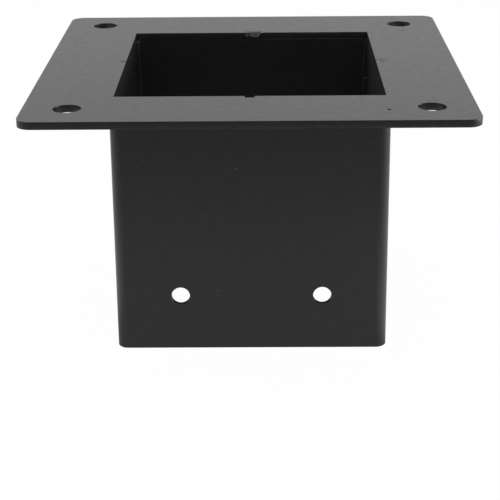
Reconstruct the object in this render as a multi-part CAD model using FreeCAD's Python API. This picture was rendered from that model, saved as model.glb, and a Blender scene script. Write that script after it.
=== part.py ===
import FreeCAD, Part
import math
import os

from FreeCAD import Vector

# Welded steel post base, shown as it is stored: the plate is on top and the sleeve stands on its open end.
# The origin is the centre of the sleeve's foot and +Z points up to the plate. All sizes are in millimetres.
OVERALL_HEIGHT = 93.0

# Sleeve: one sheet folded into a square tube that takes a 4 x 4 post
POST_SIDE = 88.9
POST_CLEARANCE = 1.65
SLEEVE_WALL = 1.9
BEND_INSIDE_RADIUS = 1.9
SCREW_HOLE_DIAMETER = 6.5
SCREW_HOLE_SPACING = 50.0
SCREW_HOLE_HEIGHT = 20.25

# Butt weld that closes the folded sheet in the middle of its back
SEAM_GAP = 1.2
SEAM_CROWN_WIDTH = 4.5
SEAM_CROWN_HEIGHT = 0.4
SEAM_END_SETBACK = 1.5

# Plate: flat square with rounded corners, an anchor hole by each corner and an opening flush with the sleeve
PLATE_SIDE = 150.0
PLATE_THICKNESS = 2.66
PLATE_CORNER_RADIUS = 5.0
ANCHOR_HOLE_DIAMETER = 9.5
ANCHOR_EDGE_DISTANCE = 15.0

# Deburred edges: the plate's outline, the rims of the holes and the sleeve's foot
PLATE_EDGE_BREAK = 0.06
HOLE_BREAK = 0.06
FOOT_BREAK = 0.2

# Tack welds in the notches at the middle of the opening's sides
NOTCH_WIDTH = 3.4
TACK_CREASE = 0.35
TACK_RECESS = 0.06
FRONT_TACK_RECESS = 1.3
BACK_NOTCH_WIDTH = 7.0
BACK_NOTCH_OFFSET = 0.6
LEFT_SCOOP_WIDTH = 2.0
LEFT_SCOOP_DEPTH = 0.9
RIGHT_SCOOP_WIDTH = 4.1
RIGHT_SCOOP_DEPTH = 1.6
SCOOP_RIDGE = 0.15
SCOOP_DROP = 2.4
SCOOP_BACK_SHARE = 0.7
SCOOP_FOOT_SHARE = 0.25

# Fillet welds between the sleeve's outer faces and the plate's underside
FILLET_LEG = 3.0
FILLET_BULGE = 0.35
FILLET_END_SETBACK = 1.0

HALF_INSIDE = POST_SIDE / 2 + POST_CLEARANCE
HALF_OUTSIDE = HALF_INSIDE + SLEEVE_WALL
HALF_PLATE = PLATE_SIDE / 2
PLATE_TOP = OVERALL_HEIGHT
PLATE_UNDERSIDE = PLATE_TOP - PLATE_THICKNESS
SLEEVE_LENGTH = PLATE_UNDERSIDE
NOTCH_DEPTH = SLEEVE_WALL

AXIS = Vector(0, 0, 1)
CENTRE = Vector(0, 0, 0)

# A piece drawn at the back of the part is turned about the part's axis, a quarter turn for each side
SIDES = ("back", "left", "front", "right")


def turned(shape, side):
    copy = shape.copy()
    copy.rotate(CENTRE, AXIS, 90 * SIDES.index(side))
    return copy


def square_bar(half_side, corner_radius, base, height):
    """Upright square bar about the part's axis, with its upright edges rounded."""
    bar = Part.makeBox(2 * half_side, 2 * half_side, height, Vector(-half_side, -half_side, base))
    upright_edges = [edge for edge in bar.Edges if edge.BoundBox.ZLength > height / 2]
    return bar.makeFillet(corner_radius, upright_edges)


def deburred(solid, size, rim_centres, rim_radius):
    """Break the sharp circular rims of the given radius that are centred on the given points."""
    rims = []
    for edge in solid.Edges:
        if not isinstance(edge.Curve, Part.Circle) or abs(edge.Curve.Radius - rim_radius) > 1e-6:
            continue
        if any(edge.Curve.Center.distanceToPoint(centre) < 1e-6 for centre in rim_centres):
            rims.append(edge)
    return solid.makeChamfer(size, rims)


def notch_span(side):
    """Where a notch in the opening's edge starts and how wide it is, drawn at the back."""
    if side == "back":
        return BACK_NOTCH_OFFSET - BACK_NOTCH_WIDTH / 2, BACK_NOTCH_WIDTH
    return -NOTCH_WIDTH / 2, NOTCH_WIDTH


def make_notch(side):
    start, width = notch_span(side)
    return Part.makeBox(width, NOTCH_DEPTH, PLATE_THICKNESS, Vector(start, HALF_INSIDE, PLATE_UNDERSIDE))


def make_base_plate():
    plate = square_bar(HALF_PLATE, PLATE_CORNER_RADIUS, PLATE_UNDERSIDE, PLATE_THICKNESS)
    outer_edges = [edge for edge in plate.Edges if edge.BoundBox.ZLength < PLATE_THICKNESS / 2]
    plate = plate.makeChamfer(PLATE_EDGE_BREAK, outer_edges)
    half_spacing = HALF_PLATE - ANCHOR_EDGE_DISTANCE
    rim_centres = []
    for x in (-half_spacing, half_spacing):
        for y in (-half_spacing, half_spacing):
            foot = Vector(x, y, PLATE_UNDERSIDE)
            plate = plate.cut(Part.makeCylinder(ANCHOR_HOLE_DIAMETER / 2, PLATE_THICKNESS, foot))
            rim_centres += [foot, Vector(x, y, PLATE_TOP)]
    plate = deburred(plate, HOLE_BREAK, rim_centres, ANCHOR_HOLE_DIAMETER / 2)
    corner = Vector(-HALF_INSIDE, -HALF_INSIDE, PLATE_UNDERSIDE)
    plate = plate.cut(Part.makeBox(2 * HALF_INSIDE, 2 * HALF_INSIDE, PLATE_THICKNESS, corner))
    for side in SIDES:
        plate = plate.cut(turned(make_notch(side), side))
    return plate


def make_sleeve():
    bend_outside_radius = BEND_INSIDE_RADIUS + SLEEVE_WALL
    tube = square_bar(HALF_OUTSIDE, bend_outside_radius, 0, SLEEVE_LENGTH)
    tube = tube.cut(square_bar(HALF_INSIDE, BEND_INSIDE_RADIUS, 0, SLEEVE_LENGTH))
    foot_edges = [edge for edge in tube.Edges if edge.BoundBox.ZMax < SLEEVE_LENGTH / 2]
    tube = tube.makeChamfer(FOOT_BREAK, foot_edges)
    rim_centres = []
    for x in (-SCREW_HOLE_SPACING / 2, SCREW_HOLE_SPACING / 2):
        drill_start = Vector(x, -HALF_OUTSIDE, SCREW_HOLE_HEIGHT)
        drill = Part.makeCylinder(SCREW_HOLE_DIAMETER / 2, 2 * HALF_OUTSIDE, drill_start, Vector(0, 1, 0))
        tube = tube.cut(drill).cut(turned(drill, "left"))
        for y in (-HALF_OUTSIDE, HALF_OUTSIDE):
            rim_centres += [Vector(x, y, SCREW_HOLE_HEIGHT), Vector(y, x, SCREW_HOLE_HEIGHT)]
    tube = deburred(tube, HOLE_BREAK, rim_centres, SCREW_HOLE_DIAMETER / 2)
    seam_corner = Vector(-SEAM_GAP / 2, HALF_INSIDE, 0)
    return tube.cut(Part.makeBox(SEAM_GAP, SLEEVE_WALL, SLEEVE_LENGTH, seam_corner))


def make_seam_weld(back_fillet_weld):
    """Bead that fills the gap of the folded sheet, flush inside and slightly crowned outside."""
    half_gap = SEAM_GAP / 2
    half_crown = SEAM_CROWN_WIDTH / 2
    crown_right = Vector(half_crown, HALF_OUTSIDE, 0)
    crown_top = Vector(0, HALF_OUTSIDE + SEAM_CROWN_HEIGHT, 0)
    crown_left = Vector(-half_crown, HALF_OUTSIDE, 0)
    root = [
        crown_left,
        Vector(-half_gap, HALF_OUTSIDE, 0),
        Vector(-half_gap, HALF_INSIDE, 0),
        Vector(half_gap, HALF_INSIDE, 0),
        Vector(half_gap, HALF_OUTSIDE, 0),
        crown_right,
    ]
    crown = Part.Arc(crown_right, crown_top, crown_left).toShape()
    section = Part.Face(Part.Wire(Part.makePolygon(root).Edges + [crown]))
    section.translate(Vector(0, 0, SEAM_END_SETBACK))
    bead = section.extrude(Vector(0, 0, SLEEVE_LENGTH - SEAM_END_SETBACK))
    return bead.cut(back_fillet_weld)


def make_fillet_weld(side):
    """Bead along one side of the sleeve, with both ends rounded off before the bends."""
    root = Vector(0, HALF_OUTSIDE, PLATE_UNDERSIDE)
    plate_toe = root + Vector(0, FILLET_LEG, 0)
    sleeve_toe = root - Vector(0, 0, FILLET_LEG)
    bulge = Vector(0, 1, -1) * (FILLET_BULGE / math.sqrt(2))
    face_middle = (plate_toe + sleeve_toe) * 0.5 + bulge
    section_edges = [
        Part.LineSegment(root, plate_toe).toShape(),
        Part.Arc(plate_toe, face_middle, sleeve_toe).toShape(),
        Part.LineSegment(sleeve_toe, root).toShape(),
    ]
    section = Part.Face(Part.Wire(section_edges))
    half_run = HALF_INSIDE - BEND_INSIDE_RADIUS - FILLET_END_SETBACK - FILLET_LEG
    start = section.translated(Vector(-half_run, 0, 0))
    finish = section.translated(Vector(half_run, 0, 0))
    run = start.extrude(Vector(2 * half_run, 0, 0))
    start_end = start.revolve(root - Vector(half_run, 0, 0), AXIS, 90)
    finish_end = finish.revolve(root + Vector(half_run, 0, 0), AXIS, -90)
    bead = run.fuse([start_end, finish_end]).removeSplitter()
    return turned(bead, side)


def make_tack_weld(side, recess, crease_before=0.0, crease_after=0.0):
    """Filled notch that stops short of the plate's face and may leave a crease along a flank."""
    start, width = notch_span(side)
    corner = Vector(start + crease_before, HALF_INSIDE, PLATE_UNDERSIDE)
    weld = Part.makeBox(width - crease_before - crease_after, NOTCH_DEPTH, PLATE_THICKNESS - recess, corner)
    return turned(weld, side)


def make_scoop(start, width, depth):
    """Wedge of weld metal missing at the back: wide at the front, narrow behind and at its foot."""
    middle = start + width / 2
    back_half = SCOOP_BACK_SHARE * width / 2
    foot_half = SCOOP_FOOT_SHARE * width / 2
    foot = PLATE_TOP - SCOOP_DROP
    front_left = Vector(start, HALF_INSIDE, PLATE_TOP)
    front_right = Vector(start + width, HALF_INSIDE, PLATE_TOP)
    back_left = Vector(middle - back_half, HALF_INSIDE + depth, PLATE_TOP)
    back_right = Vector(middle + back_half, HALF_INSIDE + depth, PLATE_TOP)
    foot_left = Vector(middle - foot_half, HALF_INSIDE, foot)
    foot_right = Vector(middle + foot_half, HALF_INSIDE, foot)
    outlines = [
        [front_left, front_right, back_right, back_left],
        [front_left, foot_left, foot_right, front_right],
        [back_left, back_right, foot_right, foot_left],
        [front_left, back_left, foot_left],
        [front_right, foot_right, back_right],
    ]
    faces = [Part.Face(Part.makePolygon(outline + outline[:1])) for outline in outlines]
    return Part.makeSolid(Part.makeShell(faces))


def make_back_tack_weld():
    """Filled notch with two scoops side by side in its front edge and a thin ridge between them."""
    weld = make_tack_weld("back", TACK_RECESS)
    left_start = BACK_NOTCH_OFFSET - (LEFT_SCOOP_WIDTH + SCOOP_RIDGE + RIGHT_SCOOP_WIDTH) / 2
    right_start = left_start + LEFT_SCOOP_WIDTH + SCOOP_RIDGE
    weld = weld.cut(make_scoop(left_start, LEFT_SCOOP_WIDTH, LEFT_SCOOP_DEPTH))
    return weld.cut(make_scoop(right_start, RIGHT_SCOOP_WIDTH, RIGHT_SCOOP_DEPTH))


pieces = {
    "base_plate": make_base_plate(),
    "sleeve": make_sleeve(),
}
for side in SIDES:
    pieces["fillet_weld_" + side] = make_fillet_weld(side)
pieces["seam_weld"] = make_seam_weld(pieces["fillet_weld_back"])
pieces["tack_weld_front"] = make_tack_weld("front", FRONT_TACK_RECESS)
pieces["tack_weld_left"] = make_tack_weld("left", TACK_RECESS, crease_after=TACK_CREASE)
pieces["tack_weld_right"] = make_tack_weld("right", TACK_RECESS, crease_before=TACK_CREASE)
pieces["tack_weld_back"] = make_back_tack_weld()

os.makedirs("parts", exist_ok=True)
for name, shape in pieces.items():
    shape.exportStep("parts/" + name + ".step")
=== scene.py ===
import math

import bmesh
import bpy
from mathutils import Matrix, Vector


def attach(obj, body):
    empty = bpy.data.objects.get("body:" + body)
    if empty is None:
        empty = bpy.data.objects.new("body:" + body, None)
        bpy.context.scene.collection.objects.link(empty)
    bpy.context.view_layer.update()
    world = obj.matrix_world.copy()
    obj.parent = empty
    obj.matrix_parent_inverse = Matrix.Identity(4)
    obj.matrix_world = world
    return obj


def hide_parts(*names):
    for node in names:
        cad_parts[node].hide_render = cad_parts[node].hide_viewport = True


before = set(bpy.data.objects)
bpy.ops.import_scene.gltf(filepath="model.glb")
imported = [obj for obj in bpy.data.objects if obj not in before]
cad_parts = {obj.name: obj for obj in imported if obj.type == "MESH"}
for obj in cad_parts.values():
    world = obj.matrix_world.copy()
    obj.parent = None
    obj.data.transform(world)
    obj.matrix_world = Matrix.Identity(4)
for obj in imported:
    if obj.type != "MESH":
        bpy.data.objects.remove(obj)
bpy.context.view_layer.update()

# Base plate: a square of 12 gauge steel sheet, cut out with rounded corners, four anchor holes, an opening for the
# post and a notch in each side of the opening. It lies on the sleeve's top edge and is welded there. The whole part
# is then coated in satin black powder. On the plate it has two pinholes, and beside the side notches the shade of
# faint creases is painted in as spots of lower shine.

plate_underside = 0.09034
plate_top = 0.0930


def noise(tree, place, size, detail, roughness=0.5):
    """Uneven pattern whose largest patches have about the given size."""
    texture = tree.nodes.new("ShaderNodeTexNoise")
    texture.inputs["Scale"].default_value = 1.0 / size
    texture.inputs["Detail"].default_value = detail
    texture.inputs["Roughness"].default_value = roughness
    tree.links.new(place, texture.inputs["Vector"])
    return texture.outputs["Fac"]


def ramp(tree, value, start, end, low=0.0, high=1.0):
    """Turn a value that goes from start to end into one that goes from low to high, level beyond both ends."""
    node = tree.nodes.new("ShaderNodeMapRange")
    for socket, number in (("From Min", start), ("From Max", end), ("To Min", low), ("To Max", high)):
        node.inputs[socket].default_value = number
    tree.links.new(value, node.inputs["Value"])
    return node.outputs["Result"]


def raise_surface(tree, pattern, depth, beneath=None):
    """Raise the surface by a pattern, on top of the unevenness that is already beneath it."""
    bump = tree.nodes.new("ShaderNodeBump")
    bump.inputs["Distance"].default_value = depth
    tree.links.new(pattern, bump.inputs["Height"])
    if beneath is not None:
        tree.links.new(beneath, bump.inputs["Normal"])
    return bump


def powder_coat(name, darkest=0.0075, lightest=0.0200):
    """Satin black coating, baked on: a fine grain over a slight orange peel, with a faintly uneven tone and gloss."""
    cool = 1.04
    coat = bpy.data.materials.new(name)
    coat.use_nodes = True
    tree = coat.node_tree
    shader = tree.nodes["Principled BSDF"]
    shader.inputs["IOR"].default_value = 1.6
    place = tree.nodes.new("ShaderNodeTexCoord").outputs["Object"]

    tone = tree.nodes.new("ShaderNodeMix")
    tone.data_type = "RGBA"
    tone.inputs["A"].default_value = (darkest, darkest, cool * darkest, 1.0)
    tone.inputs["B"].default_value = (lightest, lightest, cool * lightest, 1.0)
    tree.links.new(noise(tree, place, size=0.004, detail=3.0), tone.inputs["Factor"])
    tree.links.new(tone.outputs["Result"], shader.inputs["Base Color"])

    patches = noise(tree, place, size=0.0030, detail=5.0, roughness=0.9)
    gloss = ramp(tree, patches, start=0.3, end=0.7, low=0.285, high=0.395)
    tree.links.new(gloss, shader.inputs["Roughness"])

    peel = raise_surface(tree, noise(tree, place, size=0.0018, detail=1.0), depth=0.00003)
    fine = noise(tree, place, size=0.0004, detail=2.0)
    grain = raise_surface(tree, fine, depth=0.000012, beneath=peel.outputs["Normal"])
    tree.links.new(grain.outputs["Normal"], shader.inputs["Normal"])
    return coat


def dress(node, material):
    """Give a node of the frame its finish."""
    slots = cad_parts[node].data.materials
    slots.clear()
    slots.append(material)


def reckon(tree, operation, *terms):
    """One step of arithmetic in a material. Each term is a plain number or what another node gives."""
    step = tree.nodes.new("ShaderNodeMath")
    step.operation = operation
    for socket, term in zip(step.inputs, terms):
        if isinstance(term, float):
            socket.default_value = term
        else:
            tree.links.new(term, socket)
    return step.outputs["Value"]


def dull_and_shaded_spots(coat, spots):
    """Lower the shine of the plate's coating inside small round spots, each with its place, radius and sheen. At the
    pinholes the coating is dull, and at the creases the lower shine is painted shade.
    """
    full_sheen = 0.5
    even_share = 0.6
    tree = coat.node_tree
    place = tree.nodes.new("ShaderNodeTexCoord").outputs["Object"]
    sheen = None
    for x, y, radius, spot_sheen in spots:
        reach = tree.nodes.new("ShaderNodeVectorMath")
        reach.operation = "DISTANCE"
        reach.inputs[1].default_value = (x, y, plate_top)
        tree.links.new(place, reach.inputs[0])
        shine = ramp(tree, reach.outputs["Value"], even_share * radius, radius, low=spot_sheen, high=full_sheen)
        sheen = shine if sheen is None else reckon(tree, "MINIMUM", sheen, shine)
    tree.links.new(sheen, tree.nodes["Principled BSDF"].inputs["Specular IOR Level"])


def along(tree, place, axis):
    """How far a place lies along one axis."""
    split = tree.nodes.new("ShaderNodeSeparateXYZ")
    tree.links.new(place, split.inputs["Vector"])
    return split.outputs[axis]


def cut_edge(coat):
    """Make the upright faces a little round and uneven, where the cut through the sheet is coated."""
    roundness = -0.7
    tree = coat.node_tree
    normal_input = tree.nodes["Principled BSDF"].inputs["Normal"]
    upward = along(tree, tree.nodes.new("ShaderNodeNewGeometry").outputs["True Normal"], "Z")
    upright = ramp(tree, reckon(tree, "MULTIPLY", upward, upward), start=0.1, end=0.3, low=1.0, high=0.0)
    place = tree.nodes.new("ShaderNodeTexCoord").outputs["Object"]
    across = ramp(tree, along(tree, place, "Z"), plate_underside, plate_top, low=-1.0, high=1.0)
    fall = reckon(tree, "MULTIPLY", across, across)
    crown = reckon(tree, "MULTIPLY_ADD", fall, roundness, noise(tree, place, size=0.0007, detail=2.0))
    uneven = raise_surface(tree, crown, depth=0.00012, beneath=normal_input.links[0].from_socket)
    tree.links.new(upright, uneven.inputs["Strength"])
    tree.links.new(uneven.outputs["Normal"], normal_input)


pinholes = ((0.0456, -0.0630, 0.00095, 0.0), (0.0604, 0.0477, 0.0007, 0.0))
# Painted shade: faint creases beside the right and left notches, drawn as spots where the flat coating shines less.
right_crease_shade = (
    (0.0482, 0.0023, 0.0009, 0.10),
    (0.0488, 0.0023, 0.0009, 0.10),
    (0.0494, 0.0023, 0.0009, 0.12),
    (0.0500, 0.0023, 0.0009, 0.16),
    (0.0506, 0.0023, 0.0009, 0.20),
    (0.0484, -0.0003, 0.0010, 0.06),
)
left_crease_shade = ((-0.0480, 0.0029, 0.0008, 0.18), (-0.0495, -0.0015, 0.0010, 0.28))
plate_coat = powder_coat("plate_powder_coat")
dull_and_shaded_spots(plate_coat, pinholes + right_crease_shade + left_crease_shade)
cut_edge(plate_coat)
dress("base_plate", plate_coat)

# Sleeve: one sheet of 14 gauge steel folded into a square tube, with two screw holes on each side near its foot.
# It is coated together with the plate.

inner_face = 0.0461
outer_face = 0.0480
sleeve_coat = powder_coat("sleeve_powder_coat")
dress("sleeve", sleeve_coat)

# Grains in the coating: specks of powder that did not melt flat in the oven, drawn in a paler coat than the rest.
# They are baked onto the front of the sleeve.


def dome(spot, outward, radius, height, vertices, faces):
    """Add one low round grain or drop, with its flat base on the face that carries it."""
    sides = 14
    rings = 4
    turn = Vector(outward).to_track_quat("Z", "Y").to_matrix()
    start = len(vertices)
    for ring in range(rings):
        lift = math.radians(90.0 * ring / rings)
        for step in range(sides):
            angle = 2 * math.pi * step / sides
            local = Vector((
                radius * math.cos(lift) * math.cos(angle),
                radius * math.cos(lift) * math.sin(angle),
                height * math.sin(lift),
            ))
            vertices.append(Vector(spot) + turn @ local)
    vertices.append(Vector(spot) + turn @ Vector((0, 0, height)))
    top = len(vertices) - 1
    for step in range(sides):
        after = (step + 1) % sides
        for ring in range(rings - 1):
            low = start + ring * sides
            faces.append((low + step, low + after, low + sides + after, low + sides + step))
        last = start + (rings - 1) * sides
        faces.append((last + step, last + after, top))
    faces.append(tuple(start + step for step in reversed(range(sides))))


def add_piece(name, vertices, faces, material, sharp_angle):
    """Make a mesh piece of the part, with coinciding points joined, smooth except at its sharp edges."""
    joining_distance = 1e-7
    mesh = bpy.data.meshes.new(name)
    mesh.from_pydata(vertices, [], faces)
    shape = bmesh.new()
    shape.from_mesh(mesh)
    bmesh.ops.remove_doubles(shape, verts=shape.verts, dist=joining_distance)
    shape.to_mesh(mesh)
    shape.free()
    mesh.polygons.foreach_set("use_smooth", [True] * len(mesh.polygons))
    mesh.set_sharp_from_angle(angle=math.radians(sharp_angle))
    mesh.materials.append(material)
    mesh.update()
    piece = bpy.data.objects.new(name, mesh)
    bpy.context.scene.collection.objects.link(piece)
    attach(piece, "root")
    return piece


grain_sharp_angle = 60
grain_height_share = 0.9
speck_coat = powder_coat("speck_powder_coat", 0.058, 0.080)
grain_vertices = []
grain_faces = []
for x, z, radius in (
    (-0.0388, 0.0689, 0.00030),
    (-0.0051, 0.0678, 0.00045),
    (0.0209, 0.0567, 0.00038),
    (0.0309, 0.0450, 0.00032),
    (-0.0122, 0.0225, 0.00045),
    (0.0060, 0.0155, 0.00042),
    (-0.0081, 0.0049, 0.00028),
    (-0.0146, 0.0031, 0.00025),
    (0.0155, 0.0647, 0.00025),
):
    dome((x, -outer_face, z), (0, -1, 0), radius, grain_height_share * radius, grain_vertices, grain_faces)
add_piece("coating_grains", grain_vertices, grain_faces, speck_coat, grain_sharp_angle)

# Weld drops: two drops of weld metal that were thrown onto the back bends inside the sleeve and froze there.
# They lie under the same black coat.

drop_vertices = []
drop_faces = []
for spot, outward, radius, height in (
    ((-0.04554, 0.04554, 0.0891), (1, -1, 0), 0.00060, 0.00050),
    ((0.04576, 0.04529, 0.07416), (-0.82, -0.57, 0), 0.00050, 0.00046),
):
    dome(spot, outward, radius, height, drop_vertices, drop_faces)
add_piece("weld_drops", drop_vertices, drop_faces, sleeve_coat, grain_sharp_angle)

# Joint ridge: powder that gathered along the joint between plate and sleeve and baked to a thin round ridge.
# It runs along the right half of the opening's back, just below the plate.


def bar_faces(sections, around):
    """Faces of a bar that is drawn as a row of closed sections, with an end face at both ends."""
    faces = []
    for section in range(sections - 1):
        low = section * around
        for step in range(around):
            after = (step + 1) % around
            faces.append((low + after, low + step, low + around + step, low + around + after))
    faces.append(tuple(range(around)))
    last = (sections - 1) * around
    faces.append(tuple(last + step for step in reversed(range(around))))
    return faces


ridge_radius = 0.00007
ridge_left, ridge_right = 0.0044, 0.0440
ridge_steps = 60
ridge_points = 9
ridge_swell_rate = 700
ridge_end_size, ridge_end_rate = 0.1, 40
ridge_vertices = []
for step in range(ridge_steps + 1):
    share = step / ridge_steps
    x = ridge_left + (ridge_right - ridge_left) * share
    swell = 0.75 + 0.25 * math.sin(ridge_swell_rate * x)
    taper = min(1.0, ridge_end_size + ridge_end_rate * min(share, 1 - share))
    size = ridge_radius * swell * taper
    for point in reversed(range(ridge_points)):
        angle = math.pi * point / (ridge_points - 1)
        ridge_vertices.append((
            x,
            inner_face - size * math.sin(angle),
            plate_underside + size * math.cos(angle),
        ))
ridge_faces = bar_faces(ridge_steps + 1, ridge_points)
add_piece("joint_ridge", ridge_vertices, ridge_faces, sleeve_coat, grain_sharp_angle)

# Fillet welds: four beads laid in one pass each, in the corner between the sleeve's outer faces and the underside
# of the plate. They stop short of the sleeve's bends, and each bead keeps the half-moon ripples of the weld pool.

weld_coat = powder_coat("weld_powder_coat")
weld_sharp_angle = 50


def bead_section(leg, bulge, steps):
    """Points across the face of a bead, from its toe on the plate to its toe on the sleeve, and their normals."""
    chord = leg * math.sqrt(2)
    radius = (chord * chord / 4 + bulge * bulge) / (2 * bulge)
    half_angle = math.asin(chord / 2 / radius)
    inset = (radius - bulge) * math.sqrt(0.5)
    centre = (leg / 2 - inset, -leg / 2 + inset)
    points = []
    for step in range(steps + 1):
        angle = half_angle - 2 * half_angle * step / steps - math.pi / 4
        normal = (math.cos(angle), math.sin(angle))
        points.append(((centre[0] + radius * normal[0], centre[1] + radius * normal[1]), normal))
    points[0] = ((leg, 0.0), points[0][1])
    points[-1] = ((0.0, -leg), points[-1][1])
    return points


def fillet_bead(side, quarter_turns):
    """Rippled bead along one side of the sleeve, drawn at the back and turned to its side."""
    leg = 0.0030
    bulge = 0.00035
    half_run = 0.0402
    face_steps = 12
    run_steps = 320
    end_steps = 9
    end_travel_share = 0.8
    ripple_pitch = 0.00155
    ripple_bow = 0.0009
    ripple_drift, drift_rate = 0.00025, 310
    mean_depth, depth_change, depth_rate = 0.00013, 0.00005, 170
    across = bead_section(leg, bulge, face_steps)
    stations = []
    for step in range(end_steps):
        stations.append((-half_run, math.radians(90.0 * (end_steps - step) / end_steps)))
    for step in range(run_steps + 1):
        stations.append((-half_run + 2 * half_run * step / run_steps, 0.0))
    for step in range(1, end_steps + 1):
        stations.append((half_run, -math.radians(90.0 * step / end_steps)))
    turn = Matrix.Rotation(math.radians(90 * quarter_turns), 3, "Z")
    vertices = []
    for x, swing in stations:
        travel = x - leg * swing * end_travel_share
        fade = math.cos(swing) ** 2
        ripple_depth = mean_depth + depth_change * math.sin(depth_rate * travel + quarter_turns)
        row = []
        for step, ((out, down), normal) in enumerate(across):
            share = 2 * step / (len(across) - 1) - 1
            lag = travel + ripple_bow * share * share + ripple_drift * math.sin(drift_rate * travel)
            wave = 0.5 + 0.5 * math.cos(2 * math.pi * lag / ripple_pitch)
            depth = ripple_depth * (1 - share ** 4) * (1 - wave ** 2) * fade
            row.append((out - normal[0] * depth, down - normal[1] * depth))
        row.append((0.0, 0.0))
        for out, down in row:
            vertices.append(turn @ Vector((
                x - out * math.sin(swing),
                outer_face + out * math.cos(swing),
                plate_underside + down,
            )))
    faces = bar_faces(len(stations), len(across) + 1)
    piece = add_piece("rippled_fillet_weld_" + side, vertices, faces, weld_coat, weld_sharp_angle)
    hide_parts("fillet_weld_" + side)


for quarter_turns, side in enumerate(("back", "left", "front", "right")):
    fillet_bead(side, quarter_turns)

# Seam weld: the butt weld that closes the folded sheet at the middle of the back. It fills the gap flush with the
# inside of the sleeve and stands a little proud outside, with the ripples of one upward pass.

seam_foot, seam_top = 0.0015, plate_underside
seam_rows = 330
half_gap = 0.0006
crown_top = 0.0872
crown_steps = 12
crown_rise = 0.00038
crown_half_width = 0.00222
crown_edge = half_gap + 0.00003
crown_seat = 0.000004
start_length, end_length = 0.0022, 0.0012
edge_waver, edge_waver_rate = 0.00008, 900
seam_ripple_pitch = 0.0014
seam_ripple_bow = 0.0011
seam_ripple_share = 0.3
seam_drift, seam_drift_rate = 0.0002, 280
seam_vertices = []
for row in range(seam_rows + 1):
    z = seam_foot + (seam_top - seam_foot) * row / seam_rows
    start_taper = min(1.0, max(0.0, (z - seam_foot) / start_length))
    end_taper = min(1.0, max(0.0, (crown_top - z) / end_length))
    taper = math.sqrt(1 - (1 - start_taper) ** 2) * math.sqrt(1 - (1 - end_taper) ** 2)
    half_width = crown_edge + (crown_half_width - crown_edge) * taper
    half_width -= edge_waver * taper * (0.5 + 0.5 * math.sin(edge_waver_rate * z))
    profile = [(half_gap, outer_face), (half_gap, inner_face), (-half_gap, inner_face), (-half_gap, outer_face)]
    for step in range(crown_steps + 1):
        share = 2 * step / crown_steps - 1
        lag = z + seam_ripple_bow * share * share + seam_drift * math.sin(seam_drift_rate * z)
        wave = 0.5 + 0.5 * math.cos(2 * math.pi * lag / seam_ripple_pitch)
        fullness = 1 - share * share
        rise = crown_rise * fullness * (1 - seam_ripple_share * (1 - wave ** 2))
        profile.append((share * half_width, outer_face + crown_seat * fullness + rise * taper))
    for x, y in profile:
        seam_vertices.append(Vector((x, y, z)))
seam_faces = bar_faces(seam_rows + 1, len(profile))
seam = add_piece("rippled_seam_weld", seam_vertices, seam_faces, weld_coat, weld_sharp_angle)
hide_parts("seam_weld")

# Tack welds: short welds in the notches at the middle of the opening's sides. The left and right ones are dressed
# almost flush with the plate, and the front one lies low. The back one sagged as it cooled: it slopes into the
# opening in two lobes, with three narrow runs along their edges.

for side in ("front", "back", "left", "right"):
    dress("tack_weld_" + side, weld_coat)

weld_left, weld_right = -0.0029, 0.0041
weld_top = 0.09294
run_drop = 0.0014
run_depth = 0.0013
run_half_width = 0.00025
run_places = ((-0.0026, -0.0018), (-0.0007, 0.0002), (0.0034, 0.0024))
left_lobe_depth, left_lobe_drop = 0.00040, 0.0015
right_lobe_depth, right_lobe_drop = 0.00085, 0.0018


def between(value, low, high):
    """One inside the two limits and nothing outside, with soft flanks."""
    soft = 0.00006
    rise = min(1.0, max(0.0, (value - low) / (2 * soft) + 0.5))
    fall = min(1.0, max(0.0, (high - value) / (2 * soft) + 0.5))
    return rise * rise * (3 - 2 * rise) * fall * fall * (3 - 2 * fall)


def weld_setback(x, z):
    """How far the face of the back weld lies behind the sleeve's inner face."""
    drop = weld_top - z
    middles = [top + (foot - top) * drop / run_drop for top, foot in run_places]
    depths = [
        left_lobe_depth * max(0.0, 1 - drop / left_lobe_drop) * between(x, middles[0], middles[1]),
        right_lobe_depth * max(0.0, 1 - drop / right_lobe_drop) * between(x, middles[1], middles[2]),
    ]
    for middle in middles:
        run = between(x, middle - run_half_width, middle + run_half_width)
        depths.append(run_depth * max(0.0, 1 - drop / run_drop) * run)
    return max(depths)


weld_columns = 120
weld_rows = 44
weld_vertices = []
for column in range(weld_columns + 1):
    x = weld_left + (weld_right - weld_left) * column / weld_columns
    for row in range(weld_rows + 1):
        z = plate_underside + (weld_top - plate_underside) * row / weld_rows
        weld_vertices.append((x, inner_face + weld_setback(x, z), z))
    weld_vertices.append((x, outer_face, weld_top))
    weld_vertices.append((x, outer_face, plate_underside))
weld_faces = bar_faces(weld_columns + 1, weld_rows + 3)
back_weld = add_piece("sagged_tack_weld_back", weld_vertices, weld_faces, weld_coat, weld_sharp_angle)
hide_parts("tack_weld_back")

# Floor: a white sheet that the part stands on. In the black coating it shows a painted pool of light: to shiny and
# clear rays it glows bright beside and behind the part and darker in front of it, so that the faces turned to the
# camera stay dark. It is clear from below.


def ray_kinds(tree):
    """Whether a ray comes straight from the camera, and whether it comes off a shiny or a clear surface."""
    path = tree.nodes.new("ShaderNodeLightPath").outputs
    return path["Is Camera Ray"], reckon(tree, "MAXIMUM", path["Is Glossy Ray"], path["Is Transmission Ray"])


def either(tree, share, first, second):
    """Change from one finish to another as the share goes from nothing to one."""
    mix = tree.nodes.new("ShaderNodeMixShader")
    tree.links.new(share, mix.inputs["Fac"])
    tree.links.new(first, mix.inputs[1])
    tree.links.new(second, mix.inputs[2])
    return mix.outputs["Shader"]


floor_half = 3.0
floor_corners = [(floor_half * x, floor_half * y, 0) for x, y in ((-1, -1), (1, -1), (1, 1), (-1, 1))]
floor_mesh = bpy.data.meshes.new("floor")
floor_mesh.from_pydata(floor_corners, [], [(0, 1, 2, 3)])
floor = bpy.data.objects.new("floor", floor_mesh)
bpy.context.scene.collection.objects.link(floor)

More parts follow.
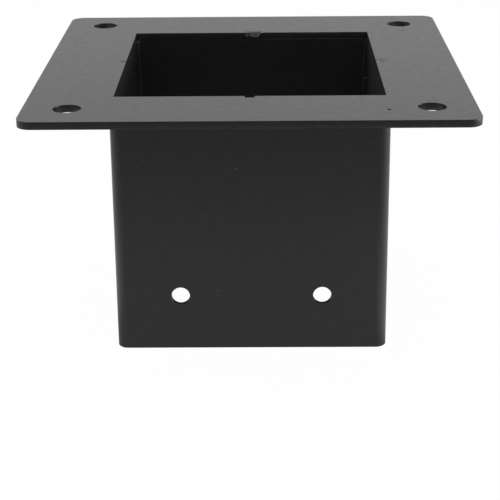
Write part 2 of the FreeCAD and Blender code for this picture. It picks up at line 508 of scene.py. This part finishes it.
shift_left = 0.010
white_share = 0.985
floor_paint = bpy.data.materials.new("white_floor")
floor_paint.use_nodes = True
tree = floor_paint.node_tree
tree.nodes.remove(tree.nodes["Principled BSDF"])
place = tree.nodes.new("ShaderNodeTexCoord").outputs["Object"]
back = along(tree, place, "Y")
aside = reckon(tree, "ABSOLUTE", reckon(tree, "ADD", along(tree, place, "X"), shift_left))
# Painted light: how brightly the floor glows to shiny and clear rays, a pool of light painted onto it that is
# strongest beside and behind the part.
painted_light_in_front = ramp(tree, back, start=-0.41, end=-0.165, low=0.165, high=0.51)
outward = ramp(tree, aside, start=0.042, end=0.074)
backward = ramp(tree, back, start=-0.30, end=-0.06)
fade_out = ramp(tree, aside, start=0.20, end=0.32, low=1.0, high=0.45)
painted_light_beside = reckon(tree, "MULTIPLY", reckon(tree, "MULTIPLY", outward, backward), fade_out)
seen, mirrored = ray_kinds(tree)
# Painted light: shiny and clear rays see the floor glow at the painted pool's strength, and rays from the camera see
# it white.
painted_floor_light = tree.nodes.new("ShaderNodeMix")
painted_floor_light.inputs["A"].default_value = 1.0
tree.links.new(mirrored, painted_floor_light.inputs["Factor"])
tree.links.new(reckon(tree, "MAXIMUM", painted_light_in_front, painted_light_beside), painted_floor_light.inputs["B"])
glow = tree.nodes.new("ShaderNodeEmission")
tree.links.new(painted_floor_light.outputs["Result"], glow.inputs["Strength"])
matt = tree.nodes.new("ShaderNodeBsdfDiffuse")
matt.inputs["Color"].default_value = (0.8, 0.8, 0.8, 1)
glow_share = reckon(tree, "MULTIPLY_ADD", seen, white_share, mirrored)
from_above = either(tree, glow_share, matt.outputs["BSDF"], glow.outputs["Emission"])
from_below = tree.nodes.new("ShaderNodeBsdfTransparent").outputs["BSDF"]
underside = tree.nodes.new("ShaderNodeNewGeometry").outputs["Backfacing"]
tree.links.new(either(tree, underside, from_above, from_below), tree.nodes["Material Output"].inputs["Surface"])
floor_mesh.materials.append(floor_paint)

# Surround: the walls of a small studio, plain white in the picture. They give little light of their own. In the
# black coating they show darker in front of the part and overhead, and a little brighter on the right.

world = bpy.data.worlds.new("studio")
bpy.context.scene.world = world
world.use_nodes = True
tree = world.node_tree
walls = tree.nodes["Background"]
walls.inputs["Color"].default_value = (1, 1, 1, 1)
direction = tree.nodes.new("ShaderNodeTexCoord").outputs["Generated"]
height = tree.nodes.new("ShaderNodeVectorMath")
height.operation = "DOT_PRODUCT"
height.inputs[1].default_value = (-0.15, 0.0, 1.0)
tree.links.new(direction, height.inputs[0])
front_to_back = ramp(tree, along(tree, direction, "Y"), start=-1.0, end=-0.4, low=0.15, high=1.0)
low_to_high = ramp(tree, height.outputs["Value"], start=0.22, end=0.50, low=1.0, high=0.43)
seen, mirrored = ray_kinds(tree)
level = ramp(tree, mirrored, start=0.0, end=1.0, low=0.2, high=1.0)
strength = tree.nodes.new("ShaderNodeMix")
strength.inputs["B"].default_value = 1.0
tree.links.new(seen, strength.inputs["Factor"])
dimmed = reckon(tree, "MULTIPLY", level, reckon(tree, "MULTIPLY", front_to_back, low_to_high))
tree.links.new(dimmed, strength.inputs["A"])
tree.links.new(strength.outputs["Result"], walls.inputs["Strength"])

# Lamps: one large softbox overhead, one on the left that lights the inside of the sleeve through the opening,
# and a low, long one on the right, farther away, that edges the sleeve's right bend.

lamp_target = Vector((0, 0, 0.05))
for name, watts, width, depth, spot in (
    ("overhead_softbox", 4.8, 0.9, 0.9, (0.0, -0.05, 0.7)),
    ("left_softbox", 0.95, 0.4, 0.3, (-0.4, 0.25, 0.32)),
    ("right_softbox", 5.5, 1.0, 0.14, (1.0, 0.1, 0.125)),
):
    lamp_data = bpy.data.lights.new(name, "AREA")
    lamp_data.shape = "RECTANGLE"
    lamp_data.size = width
    lamp_data.size_y = depth
    lamp_data.energy = watts
    lamp = bpy.data.objects.new(name, lamp_data)
    lamp.location = spot
    lamp.rotation_euler = (lamp_target - lamp.location).to_track_quat("-Z", "Y").to_euler()
    bpy.context.scene.collection.objects.link(lamp)

# Camera: a long lens a little above the plate, almost square on to the front of the sleeve.
# It is shifted down the frame because the part stands in the upper half of the picture.

camera_place = (0.005067, -0.499989, 0.222378)
camera_pan, camera_tilt, camera_roll = 0.6589, 19.1529, -0.5274
camera_data = bpy.data.cameras.new("camera")
camera_data.sensor_width = 36.0
camera_data.lens = 100.54
camera_data.shift_y = -0.1498
camera = bpy.data.objects.new("camera", camera_data)
camera.matrix_world = (
    Matrix.Translation(camera_place)
    @ Matrix.Rotation(math.radians(camera_pan), 4, "Z")
    @ Matrix.Rotation(math.radians(90 - camera_tilt), 4, "X")
    @ Matrix.Rotation(math.radians(camera_roll), 4, "Z")
)
bpy.context.scene.collection.objects.link(camera)
bpy.context.scene.camera = camera
bpy.context.scene.view_settings.view_transform = "Standard"
